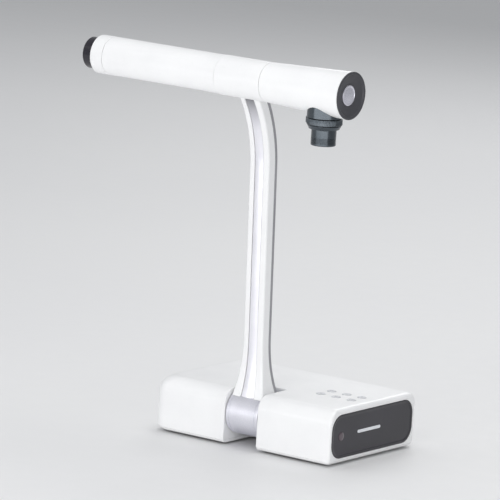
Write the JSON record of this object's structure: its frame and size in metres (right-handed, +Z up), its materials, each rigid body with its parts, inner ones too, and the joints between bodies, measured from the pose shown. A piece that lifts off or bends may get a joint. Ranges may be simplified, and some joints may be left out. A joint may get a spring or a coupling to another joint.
{
  "type": "document camera",
  "caption": "Desktop document camera: weighted base with a hinged arm, and a cross tube with a lamp section and a tilting camera head.",
  "frame": {"origin": "centre of the footprint of the whole object, at the level of the table it stands on", "axes": "+X along the base and the tube towards the camera head and the dark end panel; -Y towards the front, where the document lies; +Z up"},
  "size_m": [0.364, 0.2192, 0.4527],
  "materials": {
    "white_casing": "satin",
    "silver_paint": "satin",
    "grey_casing": "satin",
    "button_grey": "satin",
    "dark_plastic": "satin",
    "black_gloss": "gloss",
    "status_light": "gloss",
    "ir_window": "gloss",
    "rubber": "matte",
    "steel": "brushed",
    "aluminium": "satin",
    "circuit_board": "satin",
    "diffuser": "satin",
    "lens_glass": "polished"
  },
  "bodies": {
    "base": {"base_shell": "white_casing", "base_plate": "dark_plastic", "end_panel": "black_gloss", "status_light": "status_light", "ir_window": "ir_window", "base_screw_1": "steel", "base_screw_2": "steel", "base_screw_3": "steel", "base_screw_4": "steel", "rubber_foot_1": "rubber", "rubber_foot_2": "rubber", "rubber_foot_3": "rubber", "rubber_foot_4": "rubber", "ballast_plate": "steel", "main_board": "circuit_board", "button_board": "circuit_board", "hinge_bracket_left": "steel", "hinge_bracket_right": "steel", "hinge_pin": "steel", "friction_disc_left": "dark_plastic", "friction_disc_right": "dark_plastic", "power_inlet": "dark_plastic", "video_socket": "steel", "usb_socket": "steel"},
    "arm": {"hub_barrel": "silver_paint", "arm_shell": "white_casing", "arm_front_cover": "silver_paint", "arm_rear_cover": "grey_casing", "arm_core": "aluminium", "arm_cable": "rubber", "centre_housing": "white_casing", "lamp_pivot": "aluminium", "camera_pivot": "aluminium"},
    "lamp_head": {"lamp_shell": "white_casing", "lamp_end_ring": "white_casing", "lamp_end_cap": "black_gloss", "lamp_diffuser": "diffuser", "led_board": "circuit_board", "lamp_heatsink": "aluminium"},
    "camera_head": {"head_shell": "white_casing", "head_end_bezel": "dark_plastic", "lens_saddle": "black_gloss", "lens_collar": "black_gloss", "lens_barrel": "black_gloss", "lens_glass": "lens_glass", "image_sensor": "aluminium", "sensor_board": "circuit_board"},
    "lens_ring": {"lens_ring": "black_gloss"},
    "focus_button": {"focus_button": "aluminium"},
    "power_button": {"power_button": "button_grey"},
    "lamp_button": {"lamp_button": "button_grey"},
    "freeze_button": {"freeze_button": "button_grey"},
    "zoom_in_button": {"zoom_in_button": "button_grey"},
    "zoom_out_button": {"zoom_out_button": "button_grey"},
    "rotate_button": {"rotate_button": "button_grey"}
  },
  "joints": [
    {"name": "arm_hinge", "type": "hinge", "parent": "base", "child": "arm", "pos_m": [0.04, -0.03137, 0.0375], "axis": [1, 0, 0], "range_deg": [-18, 78]},
    {"name": "camera_tilt", "type": "hinge", "parent": "arm", "child": "camera_head", "pos_m": [0.04, -0.08283, 0.42593], "axis": [1, 0, 0], "range_deg": [-100, 80]},
    {"name": "lamp_tilt", "type": "hinge", "parent": "arm", "child": "lamp_head", "pos_m": [0.04, -0.08283, 0.42593], "axis": [1, 0, 0], "range_deg": [-90, 90]},
    {"name": "lens_turn", "type": "hinge", "parent": "camera_head", "child": "lens_ring", "pos_m": [0.148, -0.08283, 0.42593], "axis": [0, 0, 1], "range_deg": [-90, 90]},
    {"name": "focus_press", "type": "slide", "parent": "camera_head", "child": "focus_button", "axis": [-1, 0, 0], "range_m": [0, 0.001], "stiffness_N_per_m": 1200},
    {"name": "power_press", "type": "slide", "parent": "base", "child": "power_button", "axis": [0, 0, -1], "range_m": [0, 0.0009], "stiffness_N_per_m": 1200},
    {"name": "lamp_press", "type": "slide", "parent": "base", "child": "lamp_button", "axis": [0, 0, -1], "range_m": [0, 0.0009], "stiffness_N_per_m": 1200},
    {"name": "freeze_press", "type": "slide", "parent": "base", "child": "freeze_button", "axis": [0, 0, -1], "range_m": [0, 0.0009], "stiffness_N_per_m": 1200},
    {"name": "zoom_in_press", "type": "slide", "parent": "base", "child": "zoom_in_button", "axis": [0, 0, -1], "range_m": [0, 0.0009], "stiffness_N_per_m": 1200},
    {"name": "zoom_out_press", "type": "slide", "parent": "base", "child": "zoom_out_button", "axis": [0, 0, -1], "range_m": [0, 0.0009], "stiffness_N_per_m": 1200},
    {"name": "rotate_press", "type": "slide", "parent": "base", "child": "rotate_button", "axis": [0, 0, -1], "range_m": [0, 0.0009], "stiffness_N_per_m": 1200}
  ]
}
